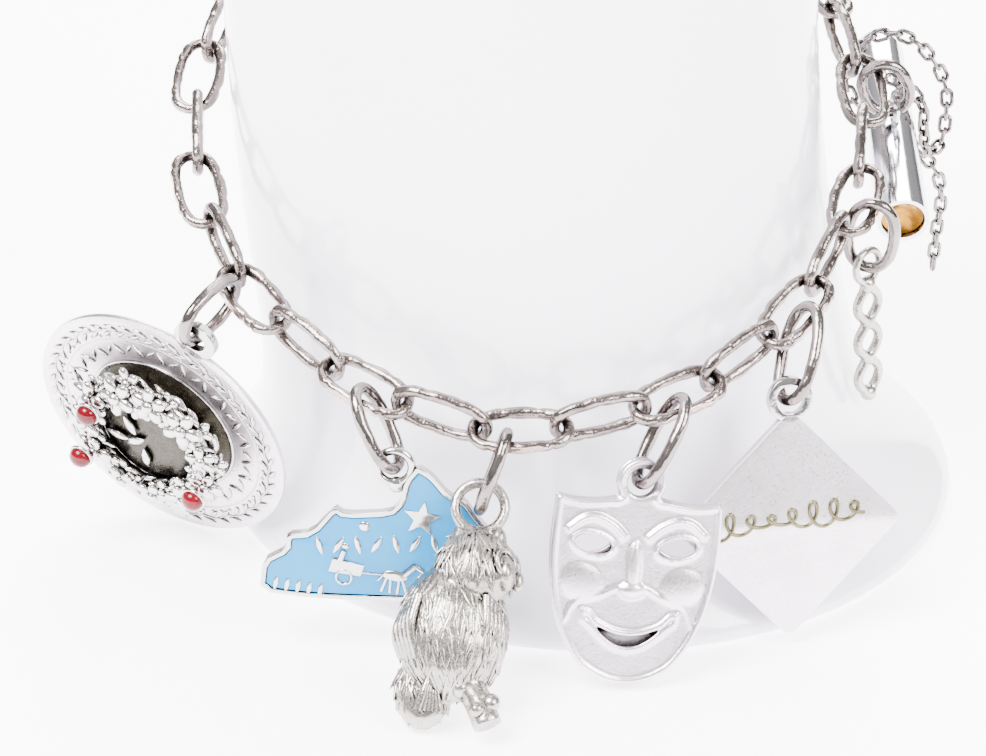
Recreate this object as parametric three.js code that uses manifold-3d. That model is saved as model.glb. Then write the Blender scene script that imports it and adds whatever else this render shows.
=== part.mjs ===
// Charm bracelet closed round a plain flared display stand.
// Millimetres, +Z up, origin at the centre of the stand's underside; the wearer's side faces -Y.
import * as THREE from 'three';
import * as BufferGeometryUtils from 'three/addons/utils/BufferGeometryUtils.js';
import Module from 'manifold-3d';

const wasm = await Module();
wasm.setup();

// ---- driving dimensions ----
const CHAIN = { places: 30, claspPlace: 23, slide: -0.5 };
const LINK = { length: 8.8, width: 4.7, wire: 1.05, power: 2.7 };
const LOOP = { x: -5.7, y: 0.342, z: 33.455, halfX: 28.02, halfY: 29.95, riseX: 0.009, riseY: 0.456 };
const ROLL = { flatFront: 24, flatSide: 45, alternate: 44, outset: 0.45 };   // degrees, degrees, degrees, mm
const CLASP = { length: 10.4, width: 6.0, wire: 1.3, barrel: 1.15, barrelLength: 5 };
const RING = { wire: 1.1, width: 5.0, clear: 0.14, alongBar: 1.75, dip: 0.2 };
const HAT = { radius: 11.8, thick: 0.8, crownBase: 7.1, crownTop: 5.2, crownHeight: 2.4, stone: 0.95 };
const PLATE = { thick: 0.9, rim: 0.45, recess: 0.3, gap: 0.06 };
const MASK = { thick: 0.6, between: 0.3, bailHole: 1.15, bailOuter: 1.95 };
const PLAQUE = { side: 13.4, thick: 0.9, corner: 0.5, bailHole: 1.2, bailOuter: 1.85 };
const TUBE = { radius: 2.2, wall: 0.35, front: 11, back: 14.5, disc: 0.3, inset: 0.5 };
const SAFETY = { radius: 0.6, sides: 6, steps: 64 };

// how far single joints hang below the even oval
const SAG = [
  { joint: 4, drop: -0.3 }, { joint: 5, drop: -0.3 }, { joint: 7, drop: 0.6 }, { joint: 8, drop: 0.3 },
  { joint: 12, drop: -0.3 }, { joint: 13, drop: -0.6 }, { joint: 14, drop: -0.2 },
];

// the stand's column, which leans to -X going up: section height, centre and radius
const COLUMN = [
  { z: 0, x: 0, r: 31.5 }, { z: 0.25, x: 0, r: 32.1 }, { z: 0.8, x: 0, r: 32.3 }, { z: 1.6, x: 0, r: 32.1 },
  { z: 2.6, x: -0.2, r: 31.2 }, { z: 5, x: -0.8, r: 28.8 }, { z: 9, x: -1.8, r: 26.7 },
  { z: 14, x: -2.9, r: 25.7 }, { z: 22, x: -4.3, r: 25.3 }, { z: 34, x: -6.1, r: 24.9 },
  { z: 50, x: -7, r: 24.5 }, { z: 80, x: -7.4, r: 24.5 },
  { z: 83, x: -7.4, r: 23.9 }, { z: 84.6, x: -7.4, r: 22.4 }, { z: 85, x: -7.4, r: 20.4 },
];

// charm placements: the bail hole's centre, then yaw about Z, lean about X and roll about Y in degrees
const PLACE = {
  hat: { at: [-32.2, -21.2, 22.6], yaw: -29, lean: 18, roll: 27.5 },
  state: { at: [-16.0, -30.6, 16.4], yaw: -3, lean: -5, roll: 7.7 },
  owl: { at: [-9.2, -32.8, 14.1], yaw: 0, lean: -41, roll: 0 },
  mask: { at: [3.4, -31.5, 15.9], yaw: 8, lean: -18, roll: 7 },
  plaque: { at: [15.3, -24.7, 19.9], yaw: 14, lean: -15, roll: 2 },
  openwork: { at: [22.6, -9.2, 24.3], yaw: 42, lean: -2, roll: -4 },
  tube: { at: [25.6, 5.4, 29.3], yaw: 1, lean: 14, roll: 0 },
};

// which link carries each ring, by its place in the chain, and at which end of that link's outer bar
const HOOK = {
  state: { place: 6, end: 1 }, owl: { place: 8, end: -1 }, mask: { place: 10, end: -1 },
  plaque: { place: 12, end: -1 }, openwork: { place: 14, end: -1 }, tube: { place: 16, end: 1 },
};
const HAT_HOOK = { place: 4, end: -1, towards: [-0.55, -0.82, -0.19], length: 7.9, width: 5.5 };

// ---- materials ----
const metal = (color, roughness) => new THREE.MeshStandardMaterial({ color, roughness, metalness: 1 });
const TARNISHED = metal(0xaaa09c, 0.38);
const BRIGHT = metal(0xcfcac8, 0.22);
const MATTE = metal(0xdcd8d8, 0.45);
const DARK = metal(0x77776c, 0.5);
const GILT = metal(0xc9a363, 0.35);
const ENAMEL = new THREE.MeshStandardMaterial({ color: 0x7cc4ee, roughness: 0.2 });
const RED_GLASS = new THREE.MeshStandardMaterial({ color: 0xd8304a, roughness: 0.1 });
const STAND_WHITE = new THREE.MeshStandardMaterial({ color: 0xf1f0f6, roughness: 0.25 });

// ---- small helpers ----
const bracelet = new THREE.Group();
const rad = THREE.MathUtils.degToRad;
const vec = (a) => new THREE.Vector3(...a);

function toSolid(geometry) {
  const bare = geometry.clone().deleteAttribute('normal').deleteAttribute('uv');
  const merged = BufferGeometryUtils.mergeVertices(bare, 1e-4);
  const vertProperties = new Float32Array(merged.attributes.position.array);
  const triVerts = new Uint32Array(merged.index.array);
  return new wasm.Manifold(new wasm.Mesh({ numProp: 3, vertProperties, triVerts }));
}

function fromSolid(solid) {
  const data = solid.getMesh();
  const geometry = new THREE.BufferGeometry();
  geometry.setAttribute('position', new THREE.BufferAttribute(data.vertProperties, 3));
  geometry.setIndex(new THREE.BufferAttribute(data.triVerts, 1));
  geometry.computeVertexNormals();
  return geometry;
}

const joined = (...shapes) => fromSolid(shapes.map(toSolid).reduce((whole, next) => whole.add(next)));
const cut = (body, tool) => fromSolid(toSolid(body).subtract(toSolid(tool)));

function add(name, geometry, material, parent = bracelet) {
  const mesh = new THREE.Mesh(geometry, material);
  mesh.name = name;
  parent.add(mesh);
  return mesh;
}

function setFrame(object, origin, x, y, z) {
  object.position.copy(origin);
  object.quaternion.setFromRotationMatrix(new THREE.Matrix4().makeBasis(x, y, z));
}

function charmGroup(place) {
  const group = new THREE.Group();
  group.position.copy(vec(place.at));
  group.rotation.set(rad(place.lean), rad(place.roll), rad(place.yaw), 'ZXY');
  bracelet.add(group);
  return group;
}

// a point on a superellipse
function superPoint(angle, halfX, halfY, power) {
  const c = Math.cos(angle);
  const s = Math.sin(angle);
  const x = halfX * Math.sign(c) * Math.abs(c) ** (2 / power);
  return new THREE.Vector2(x, halfY * Math.sign(s) * Math.abs(s) ** (2 / power));
}

// a closed ring of round wire, lying in the XY plane, its centre line a superellipse
function wireRing(length, width, wire, power, steps, sides) {
  const ring = new THREE.TorusGeometry(1, 1, sides, steps);
  const spot = ring.attributes.position;
  const at = (angle) => superPoint(angle, (length - wire) / 2, (width - wire) / 2, power);
  for (let j = 0; j <= sides; j += 1) {
    for (let i = 0; i <= steps; i += 1) {
      const round = (2 * Math.PI * (i % steps)) / steps;
      const about = (2 * Math.PI * (j % sides)) / sides;
      const along = at(round + 0.01).sub(at(round - 0.01)).normalize();
      const centre = at(round);
      const out = (wire / 2) * Math.cos(about);
      const k = j * (steps + 1) + i;
      spot.setXYZ(k, centre.x + along.y * out, centre.y - along.x * out, (wire / 2) * Math.sin(about));
    }
  }
  return ring;
}

// a round bar along a curve
function bar(points, radius, sides, steps) {
  const curve = new THREE.CatmullRomCurve3(points.map(vec));
  const section = new THREE.Shape();
  for (let i = 0; i < sides; i += 1) {
    const a = (2 * Math.PI * i) / sides;
    section[i ? 'lineTo' : 'moveTo'](radius * Math.cos(a), radius * Math.sin(a));
  }
  return new THREE.ExtrudeGeometry(section, { steps, extrudePath: curve });
}

// an outline in X and Z made a plate from y = 0 to y = thick
function plate(shape, thick, curveSegments = 10) {
  const drawn = shape.extractPoints(curveSegments);
  const isClockwise = THREE.ShapeUtils.isClockWise;
  const rim = new THREE.Shape(isClockwise(drawn.shape) ? drawn.shape.reverse() : drawn.shape);
  rim.holes = drawn.holes.map((hole) => new THREE.Path(isClockwise(hole) ? hole : hole.reverse()));
  const body = new THREE.ExtrudeGeometry(rim, { depth: thick, bevelEnabled: false });
  return body.rotateX(Math.PI / 2).translate(0, thick, 0);
}

// an oval hole for a plate's outline
function ovalHole(x, y, halfX, halfY, turn = 0, count = 20) {
  const points = [];
  for (let i = 0; i < count; i += 1) {
    const a = (-2 * Math.PI * i) / count;
    const point = new THREE.Vector2(halfX * Math.cos(a), halfY * Math.sin(a));
    points.push(point.rotateAround(new THREE.Vector2(), turn));
  }
  return new THREE.Path(points.map((point) => new THREE.Vector2(x + point.x, y + point.y)));
}

// flat eyelet round the local origin, in the XZ plane
function eyelet(hole, outer, thick) {
  const shape = new THREE.Shape(ovalHole(0, 0, outer, outer).getPoints());
  shape.holes.push(ovalHole(0, 0, hole, hole));
  return plate(shape, thick);
}

function ball(x, y, z, halfX, halfY, halfZ, around = 14) {
  return new THREE.SphereGeometry(1, around, around / 2 + 1).scale(halfX, halfY, halfZ).translate(x, y, z);
}

// ---- the chain's line: a tilted oval, cut into equal steps ----
function ovalPoint(angle) {
  const x = LOOP.x + LOOP.halfX * Math.cos(angle);
  const y = LOOP.y + LOOP.halfY * Math.sin(angle);
  return new THREE.Vector3(x, y, LOOP.z + LOOP.riseX * (x - LOOP.x) + LOOP.riseY * y);
}

function jointPoints() {
  const samples = 1440;
  const run = [0];
  const angle = (i) => (2 * Math.PI * i) / samples;
  for (let i = 1; i <= samples; i += 1) {
    run.push(run[i - 1] + ovalPoint(angle(i)).distanceTo(ovalPoint(angle(i - 1))));
  }
  const pitch = run[samples] / CHAIN.places;
  const joints = [];
  for (let n = 0; n < CHAIN.places; n += 1) {
    const goal = (run[samples] / 2 + CHAIN.slide + n * pitch) % run[samples];
    const i = run.findIndex((value) => value > goal);
    const part = (goal - run[i - 1]) / (run[i] - run[i - 1]);
    joints.push(ovalPoint(angle(i - 1 + part)));
  }
  for (const row of SAG) joints[row.joint].z -= row.drop;
  return joints;
}

const JOINTS = jointPoints();

// origin and axes of the link at a place: X along the chain, Y across it towards the outer bar
function linkFrame(place) {
  const start = JOINTS[place - 1];
  const end = JOINTS[place % CHAIN.places];
  const along = end.clone().sub(start).normalize();
  const middle = start.clone().add(end).multiplyScalar(0.5);
  const outward = along.clone().cross(new THREE.Vector3(0, 0, 1)).normalize();
  const up = outward.clone().cross(along);
  const side = Math.abs(middle.x - LOOP.x) / LOOP.halfX;
  const flat = THREE.MathUtils.lerp(ROLL.flatFront, ROLL.flatSide, side ** 2);
  const onEdge = place % 2 === 0;
  const roll = rad(flat + (onEdge ? ROLL.alternate : -ROLL.alternate));
  const across = up.multiplyScalar(-Math.cos(roll)).addScaledVector(outward, Math.sin(roll));
  const origin = middle.clone().addScaledVector(across, onEdge ? ROLL.outset : 0);
  return { origin, along, across, normal: along.clone().cross(across) };
}

// centre of the outer bar's wire, a little way in from the link's end
function barPoint(place, end) {
  const frame = linkFrame(place);
  const halfX = (LINK.length - LINK.wire) / 2;
  const halfY = (LINK.width - LINK.wire) / 2;
  const pitch = JOINTS[place - 1].distanceTo(JOINTS[place % CHAIN.places]);
  const x = end * (pitch / 2 - RING.alongBar);
  const y = halfY * (1 - (Math.abs(x) / halfX) ** LINK.power) ** (1 / LINK.power);
  return { frame, at: frame.origin.clone().addScaledVector(frame.along, x).addScaledVector(frame.across, y) };
}

// ---- the chain ----
function claspGeometry() {
  const loop = wireRing(CLASP.length, CLASP.width, CLASP.wire, LINK.power, 24, 8);
  const barrel = new THREE.CylinderGeometry(CLASP.barrel, CLASP.barrel, CLASP.barrelLength, 12);
  barrel.rotateZ(Math.PI / 2).translate(0, -(CLASP.width - CLASP.wire) / 2 - 0.3, 0);
  return joined(loop, barrel);
}

function makeChain() {
  const link = wireRing(LINK.length, LINK.width, LINK.wire, LINK.power, 16, 6);
  let count = 0;
  for (let place = 1; place <= CHAIN.places; place += 1) {
    const frame = linkFrame(place);
    const isClasp = place === CHAIN.claspPlace;
    if (!isClasp) count += 1;
    const name = isClasp ? 'clasp' : `link_${String(count).padStart(2, '0')}`;
    const mesh = add(name, isClasp ? claspGeometry() : link.clone(), TARNISHED);
    setFrame(mesh, frame.origin, frame.along, frame.across, frame.normal);
  }
}

// ---- the jump rings ----
function makeRing(name, centre, longAxis, lineUp, length, width) {
  const normal = lineUp.clone().addScaledVector(longAxis, -lineUp.dot(longAxis)).normalize();
  const ring = add(name, wireRing(length, width, RING.wire, 2.3, 20, 6), BRIGHT);
  setFrame(ring, centre, longAxis, normal.clone().cross(longAxis), normal);
}

// how far the ring's wire passes over the bar's, more where they cross at a slant
function overBar(direction, along) {
  return ((LINK.wire + RING.wire) / 2 + RING.clear) / Math.sqrt(1 - direction.dot(along) ** 2);
}

// a ring from a link's outer bar down to a bail hole
function hangRing(name, hook, hole) {
  const { frame, at } = barPoint(hook.place, hook.end);
  const up = at.clone().sub(hole).normalize();
  const top = at.clone().addScaledVector(up, overBar(up, frame.along));
  const low = hole.clone().addScaledVector(up, -RING.dip);
  const length = top.distanceTo(low) + RING.wire;
  makeRing(name, top.add(low).multiplyScalar(0.5), up, frame.along, length, Math.min(RING.width, length));
}

// the hat's ring stands out from the chain, and the hat hangs on its lower side
function makeHatRing() {
  const { frame, at } = barPoint(HAT_HOOK.place, HAT_HOOK.end);
  const out = vec(HAT_HOOK.towards).normalize();
  const reach = (HAT_HOOK.length - RING.wire) / 2 - overBar(out, frame.along);
  const centre = at.clone().addScaledVector(out, reach);
  makeRing('hat_ring', centre, out.clone().negate(), frame.along, HAT_HOOK.length, HAT_HOOK.width);
}

// ---- the stand ----
function makeStand() {
  const profile = [new THREE.Vector2(0, 0)];
  for (const row of COLUMN) profile.push(new THREE.Vector2(row.r, row.z));
  profile.push(new THREE.Vector2(0, COLUMN[COLUMN.length - 1].z));
  const body = new THREE.LatheGeometry(profile, 36).rotateX(Math.PI / 2);
  const spot = body.attributes.position;
  for (let i = 0; i < spot.count; i += 1) {
    const z = spot.getZ(i);
    const k = Math.max(1, COLUMN.findIndex((row) => row.z >= z - 1e-6));
    const [low, high] = [COLUMN[k - 1], COLUMN[k]];
    spot.setX(i, spot.getX(i) + THREE.MathUtils.mapLinear(z, low.z, high.z, low.x, high.x));
  }
  add('stand', body, STAND_WHITE);
}

// ---- the hat charm: disc brim with a tab, low crown, wreath and three stones ----
const WREATH = { radius: 5.7, tube: 0.8, height: 2.0, waves: 11, wave: 0.35 };
const STONES = [{ turn: 160, r: 5.4 }, { turn: 224, r: 6.1 }, { turn: -2, r: 5.9 }];   // degrees, mm
const SPRAYS = [
  { turn: -72, from: 6.4, to: 9.2 }, { turn: -58, from: 6.4, to: 9.6 }, { turn: 176, from: 6.2, to: 8.2 },
];

function wreathPoint(turn, radius, height) {
  return [radius * Math.cos(rad(turn)), -height, radius * Math.sin(rad(turn))];
}

function makeHat() {
  const group = charmGroup(PLACE.hat);
  const hat = new THREE.Group();
  hat.position.z = -HAT.radius - 1.3;
  group.add(hat);

  const disc = new THREE.LatheGeometry([
    new THREE.Vector2(HAT.crownBase + 0.1, 0), new THREE.Vector2(HAT.radius - 0.2, -0.5),
    new THREE.Vector2(HAT.radius, -0.1), new THREE.Vector2(HAT.radius - 0.2, 0.3),
    new THREE.Vector2(HAT.crownBase + 0.1, HAT.thick), new THREE.Vector2(HAT.crownBase + 0.1, 0),
  ], 44);
  const tab = eyelet(1.0, 1.9, 0.7).translate(0, -0.4, HAT.radius + 1.3);
  add('hat_brim', joined(disc, tab), MATTE, hat);

  const crown = new THREE.LatheGeometry([
    new THREE.Vector2(0, -HAT.crownHeight), new THREE.Vector2(HAT.crownTop - 0.6, -HAT.crownHeight + 0.1),
    new THREE.Vector2(HAT.crownTop, -HAT.crownHeight + 0.6), new THREE.Vector2(HAT.crownBase, 0),
    new THREE.Vector2(HAT.crownBase, HAT.thick), new THREE.Vector2(HAT.crownBase - 0.9, HAT.thick),
    new THREE.Vector2(HAT.crownTop - 0.8, -HAT.crownHeight + 1.1),
    new THREE.Vector2(0, -HAT.crownHeight + 0.8),
  ], 36);
  add('hat_crown', crown, DARK, hat);

  const wreath = new THREE.TorusGeometry(WREATH.radius, WREATH.tube, 6, 44);
  const spot = wreath.attributes.position;
  for (let i = 0; i < spot.count; i += 1) {
    const turn = Math.atan2(spot.getY(i), spot.getX(i));
    const wave = 1 + (WREATH.wave / WREATH.radius) * Math.sin(WREATH.waves * turn);
    spot.setXYZ(i, spot.getX(i) * wave, spot.getY(i) * wave, spot.getZ(i));
  }
  wreath.rotateX(Math.PI / 2).translate(0, -HAT.crownHeight - WREATH.tube * 1.1, 0);
  const height = HAT.crownHeight + WREATH.tube * 1.1;
  const sprays = SPRAYS.map((row) => bar([
    wreathPoint(row.turn, row.from - 1, height), wreathPoint(row.turn, row.from, height + 0.1),
    wreathPoint(row.turn, row.to, 1.5),
  ], 0.5, 8, 4));
  add('hat_wreath', joined(wreath, ...sprays), BRIGHT, hat);

  STONES.forEach((row, n) => {
    const [x, y, z] = wreathPoint(row.turn, row.r, height + WREATH.tube + HAT.stone * 0.55);
    add(`hat_stone_${n + 1}`, ball(x, y, z, HAT.stone, HAT.stone * 0.5, HAT.stone, 12), RED_GLASS, hat);
  });
}

// ---- the state-map plate: silver tray with an enamel field ----
const STATE_OUTLINE = [
  [-9.1, -12.6], [-9.2, -9.8], [-7.5, -8.5], [-7.6, -7.2], [-5.7, -6.7], [-4.2, -4.1], [-3.3, -4.6],
  [0.2, -3.8], [0.9, -2.8], [1.0, -0.9], [1.8, 0.5], [3.1, -0.1], [4.6, -1.5], [5.9, -1.7], [7.3, -3.2],
  [8.7, -4.3], [9.8, -6.5], [8.4, -8.4], [6.5, -9.9], [3.7, -11.2], [-4.6, -12.4],
];

// an outline drawn in by the same distance all round
function inset(points, distance) {
  const count = points.length;
  return points.map((point, i) => {
    const before = points[(i + count - 1) % count];
    const after = points[(i + 1) % count];
    const a = new THREE.Vector2(point[0] - before[0], point[1] - before[1]).normalize();
    const b = new THREE.Vector2(after[0] - point[0], after[1] - point[1]).normalize();
    const inward = new THREE.Vector2(a.y + b.y, -(a.x + b.x)).normalize();
    const reach = Math.min(distance / Math.max(0.45, inward.dot(new THREE.Vector2(a.y, -a.x))), 2 * distance);
    return [point[0] + inward.x * reach, point[1] + inward.y * reach];
  });
}

const outline = (points) => new THREE.Shape(points.map(([x, z]) => new THREE.Vector2(x, z)));

function makeState() {
  const group = charmGroup(PLACE.state);
  const front = -PLATE.thick / 2;
  const body = plate(outline(STATE_OUTLINE), PLATE.thick).translate(0, front, 0);
  const field = plate(outline(inset(STATE_OUTLINE, PLATE.rim)), 1).translate(0, front - 1 + PLATE.recess, 0);
  const tray = cut(body, field);
  const eye = wireRing(3.4, 3.4, 0.7, 2, 20, 6).rotateX(Math.PI / 2);
  add('state_plate', joined(tray, eye), BRIGHT, group);
  const enamel = plate(outline(inset(STATE_OUTLINE, PLATE.rim + PLATE.gap)), PLATE.recess - PLATE.gap);
  add('state_enamel', cut(enamel.translate(0, front, 0), ball(0, 0, 0, 1.78, 1.78, 1.78)), ENAMEL, group);
}

// ---- the owl on its branch ----
function makeOwl() {
  const group = charmGroup(PLACE.owl);
  const loop = wireRing(4.9, 4.9, 0.95, 2, 18, 6).rotateX(Math.PI / 2);
  const owl = joined(
    loop,
    ball(-2.0, 0.2, -9.9, 4.4, 3.6, 5.6, 16),
    ball(-0.3, -0.3, -5.2, 3.2, 3.0, 3.3, 14),
    ball(1.5, -0.9, -2.9, 0.7, 0.7, 1.3, 10),
    ball(-1.6, -0.9, -2.8, 0.7, 0.7, 1.2, 10),
    ball(2.1, -1.6, -5.6, 0.8, 1.6, 1.5, 10),
    ball(-4.2, 0.6, -14.6, 2.3, 1.3, 3.0, 14),
    bar([[-1.6, -0.6, -13.0], [0.0, -0.8, -15.2], [0.9, -1.2, -17.4]], 1.2, 10, 5),
  );
  add('owl', owl, BRIGHT, group);
}

// ---- the theatre mask: two plates back to back on one ring ----
function maskShape(mood) {
  const shape = new THREE.Shape();
  shape.moveTo(-6.6, -1.2);
  shape.quadraticCurveTo(-3.6, -1.5, -1.7, -0.9);
  shape.absarc(0, 0, MASK.bailOuter, rad(208), rad(-28), true);
  shape.quadraticCurveTo(3.6, -1.5, 6.6, -1.2);
  shape.bezierCurveTo(7.0, -6.5, 6.7, -11.6, 3.6, -14.9);
  shape.quadraticCurveTo(0, -17.6, -3.6, -14.9);
  shape.bezierCurveTo(-6.7, -11.6, -7.0, -6.5, -6.6, -1.2);
  shape.holes.push(ovalHole(0, 0, MASK.bailHole, MASK.bailHole));
  for (const side of [-1, 1]) shape.holes.push(ovalHole(side * 3.6, -5.1, 1.7, 0.85, side * 0.2, 16));
  const low = mood > 0 ? -13.4 : -10.6;
  const corner = mood > 0 ? -10.4 : -12.8;
  const mouth = new THREE.Path().moveTo(-3.8, corner);
  mouth.quadraticCurveTo(0, 2 * low - corner, 3.8, corner);
  mouth.quadraticCurveTo(0, 2 * low - corner + 2.6, -3.8, corner);
  shape.holes.push(mouth);
  return shape;
}

function makeMask() {
  const group = charmGroup(PLACE.mask);
  const comedy = plate(maskShape(1), MASK.thick, 8).translate(0, -MASK.thick - MASK.between / 2, 0);
  const tragedy = plate(maskShape(-1), MASK.thick, 8).translate(0, MASK.between / 2, 0);
  add('mask_front', comedy, MATTE, group);
  add('mask_back', tragedy, MATTE, group);
}

// ---- the square plaque, hung by a corner ----
function makePlaque() {
  const group = charmGroup(PLACE.plaque);
  const half = PLAQUE.side / 2;
  const round = PLAQUE.corner;
  const shape = new THREE.Shape();
  [[1, -1], [1, 1], [-1, 1], [-1, -1]].forEach(([x, y], n) => {
    const centre = [x * (half - round), y * (half - round)];
    shape.absarc(centre[0], centre[1], round, rad(90 * n - 90), rad(90 * n), false);
  });
  const square = plate(shape, PLAQUE.thick, 4).rotateY(Math.PI / 4);
  const drop = half * Math.SQRT2 + 1.0 - round * (Math.SQRT2 - 1);
  const tab = eyelet(PLAQUE.bailHole, PLAQUE.bailOuter, PLAQUE.thick);
  const hole = new THREE.CylinderGeometry(PLAQUE.bailHole, PLAQUE.bailHole, 4, 18);
  const body = joined(square.translate(0, 0, -drop), tab);
  add('plaque', cut(body, hole).translate(0, -PLAQUE.thick / 2, 0), MATTE, group);
}

// ---- the openwork drop: two waved bars crossing, between end beads ----
const OPENWORK = { length: 10.2, top: -1.9, wave: 1.35, bar: 0.5, crossings: 3 };

function makeOpenwork() {
  const group = charmGroup(PLACE.openwork);
  const wave = (side) => {
    const points = [];
    for (let i = 0; i <= 18; i += 1) {
      const part = i / 18;
      const x = side * OPENWORK.wave * Math.sin(Math.PI * OPENWORK.crossings * part);
      points.push([x, 0, OPENWORK.top - OPENWORK.length * part]);
    }
    return bar(points, OPENWORK.bar, 6, 18);
  };
  const loop = wireRing(3.6, 3.6, 0.75, 2, 18, 6).rotateX(Math.PI / 2);
  const ends = [OPENWORK.top + 0.2, OPENWORK.top - OPENWORK.length];
  const beads = ends.map((z) => ball(0, 0, z, 0.75, 0.7, 0.75, 12));
  add('openwork_drop', joined(loop, wave(1), wave(-1), ...beads), BRIGHT, group);
}

// ---- the tube charm: a round-ended tube open towards -Y, with a dished gilt disc in its mouth ----
function makeTube() {
  const group = charmGroup(PLACE.tube);
  const inner = TUBE.radius - TUBE.wall;
  const domeCentre = TUBE.radius - TUBE.back;
  const dome = (r, a) => new THREE.Vector2(r * Math.cos(rad(a)), domeCentre - r * Math.sin(rad(a)));
  const profile = [dome(TUBE.radius, 90), dome(TUBE.radius, 60), dome(TUBE.radius, 30), dome(TUBE.radius, 0)];
  profile.push(new THREE.Vector2(TUBE.radius, TUBE.front), new THREE.Vector2(inner, TUBE.front));
  profile.push(dome(inner, 0), dome(inner, 45), dome(inner, 90));
  profile[0].x = 0;
  profile[profile.length - 1].x = 0;
  const barrel = new THREE.LatheGeometry(profile, 28).rotateX(Math.PI);
  const loop = wireRing(3.3, 3.3, 0.62, 2, 18, 6).rotateY(Math.PI / 2).translate(0, 0, bailHeight());
  add('tube_barrel', joined(barrel, loop), BRIGHT, group);

  const discRadius = inner - 0.08;
  const disc = new THREE.LatheGeometry([
    new THREE.Vector2(0, -0.7 - TUBE.disc), new THREE.Vector2(discRadius * 0.6, -0.45 - TUBE.disc),
    new THREE.Vector2(discRadius, -TUBE.disc), new THREE.Vector2(discRadius, 0),
    new THREE.Vector2(discRadius * 0.6, -0.45), new THREE.Vector2(0, -0.7),
  ], 28).translate(0, TUBE.front - TUBE.inset, 0).rotateX(Math.PI);
  add('tube_disc', disc, GILT, group);
}

function bailHeight() {
  return TUBE.radius + 1.2;
}

// ---- the safety chain: a fine chain lying over the tube, its end hanging free ----
const SAFETY_ROUTE = [
  [25.4, 8.8, 33.7], [27.0, 8.4, 33.1], [28.4, 8.2, 31.4], [28.8, 8.6, 28.6], [29.5, 9.6, 26.5],
  [30.6, 11.0, 26.6], [31.1, 12.2, 28.8], [30.9, 13.0, 31.4], [29.6, 13.7, 33.6], [27.6, 14.2, 35.2],
  [25.4, 14.5, 35.4], [23.1, 14.6, 33.7], [22.4, 14.4, 31.0], [24.0, 13.8, 28.4], [26.6, 13.0, 27.0],
  [28.8, 12.4, 25.4], [30.6, 12.1, 23.4], [31.2, 12.0, 21.4], [31.1, 12.0, 17.6], [31.0, 12.0, 14.0],
];

function makeSafetyChain() {
  add('safety_chain', bar(SAFETY_ROUTE, SAFETY.radius, SAFETY.sides, SAFETY.steps), BRIGHT);
}

// ---- assembly ----
makeStand();
makeChain();
makeHatRing();
hangRing('state_ring', HOOK.state, vec(PLACE.state.at));
hangRing('owl_ring', HOOK.owl, vec(PLACE.owl.at));
hangRing('mask_ring', HOOK.mask, vec(PLACE.mask.at));
hangRing('plaque_ring', HOOK.plaque, vec(PLACE.plaque.at));
hangRing('openwork_ring', HOOK.openwork, vec(PLACE.openwork.at));
const tubeUp = new THREE.Vector3(0, 0, bailHeight()).applyEuler(
  new THREE.Euler(rad(PLACE.tube.lean), rad(PLACE.tube.roll), rad(PLACE.tube.yaw), 'ZXY'));
hangRing('tube_ring', HOOK.tube, vec(PLACE.tube.at).add(tubeUp));
makeHat();
makeState();
makeOwl();
makeMask();
makePlaque();
makeOpenwork();
makeTube();
makeSafetyChain();

export default bracelet;
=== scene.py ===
"""Charm bracelet on a display stand: the looks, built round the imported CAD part."""

import math
import random

import bpy
import numpy as np
from bpy.props import FloatProperty, IntProperty, PointerProperty
from bpy.types import Operator, Panel, PropertyGroup
from mathutils import Matrix, Vector


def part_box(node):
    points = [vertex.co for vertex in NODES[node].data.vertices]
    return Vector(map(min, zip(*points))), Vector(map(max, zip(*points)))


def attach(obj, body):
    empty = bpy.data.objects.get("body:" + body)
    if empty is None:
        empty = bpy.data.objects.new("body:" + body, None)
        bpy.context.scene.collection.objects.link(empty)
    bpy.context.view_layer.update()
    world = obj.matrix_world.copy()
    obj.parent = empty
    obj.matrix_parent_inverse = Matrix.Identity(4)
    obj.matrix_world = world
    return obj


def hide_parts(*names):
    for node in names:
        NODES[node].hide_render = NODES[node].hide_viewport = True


bl_info = {
    "name": "Charm bracelet",
    "version": (1, 0, 0),
    "blender": (4, 5, 0),
    "location": "3D View > Sidebar > Bracelet",
    "description": "Builds a charm bracelet with its seven charms on a display stand",
    "category": "Object",
}

MM = 0.001
# The middle of the loop that the chain lies on.
LOOP_CENTRE = Vector((-5.7, 0.342, 33.455)) * MM

# Where each charm hangs: the centre of its bail hole in mm, then yaw, lean and roll in degrees.
PLACES = {
    "hat": ((-32.2, -21.2, 22.6), -29, 18, 27.5),
    "state": ((-16.0, -30.6, 16.4), -3, -5, 7.7),
    "owl": ((-9.2, -32.8, 14.1), 0, -41, 0),
    "mask": ((3.4, -31.5, 15.9), 8, -18, 7),
    "plaque": ((15.3, -24.7, 19.9), 14, -15, 2),
    "tube": ((25.6, 5.4, 29.3), 1, 14, 0),
}

# The hat's outlines as (radius, height) about its middle, in mm.
HAT_MIDDLE = (0, -13.1)
BRIM = [(6.6, -0.8), (6.6, 0), (11.5, 0.45), (11.75, 0.3), (11.8, 0.1), (11.75, -0.1), (11.5, -0.3), (6.6, -0.8)]
CROWN = [
    (0, 2.4), (2.5, 2.38), (4.3, 2.3), (4.8, 2.1), (5.1, 1.6), (5.6, 0.8), (6.55, 0.1),
    (6.55, -0.8), (5.8, -0.8), (4.2, 1.3), (0, 1.6),
]
# Sprays that hang from the wreath: turn in degrees, then the radii they run between.
SPRAYS = [(-72, 6.2, 9.0), (-58, 6.2, 9.3), (176, 6.2, 8.2)]

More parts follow.
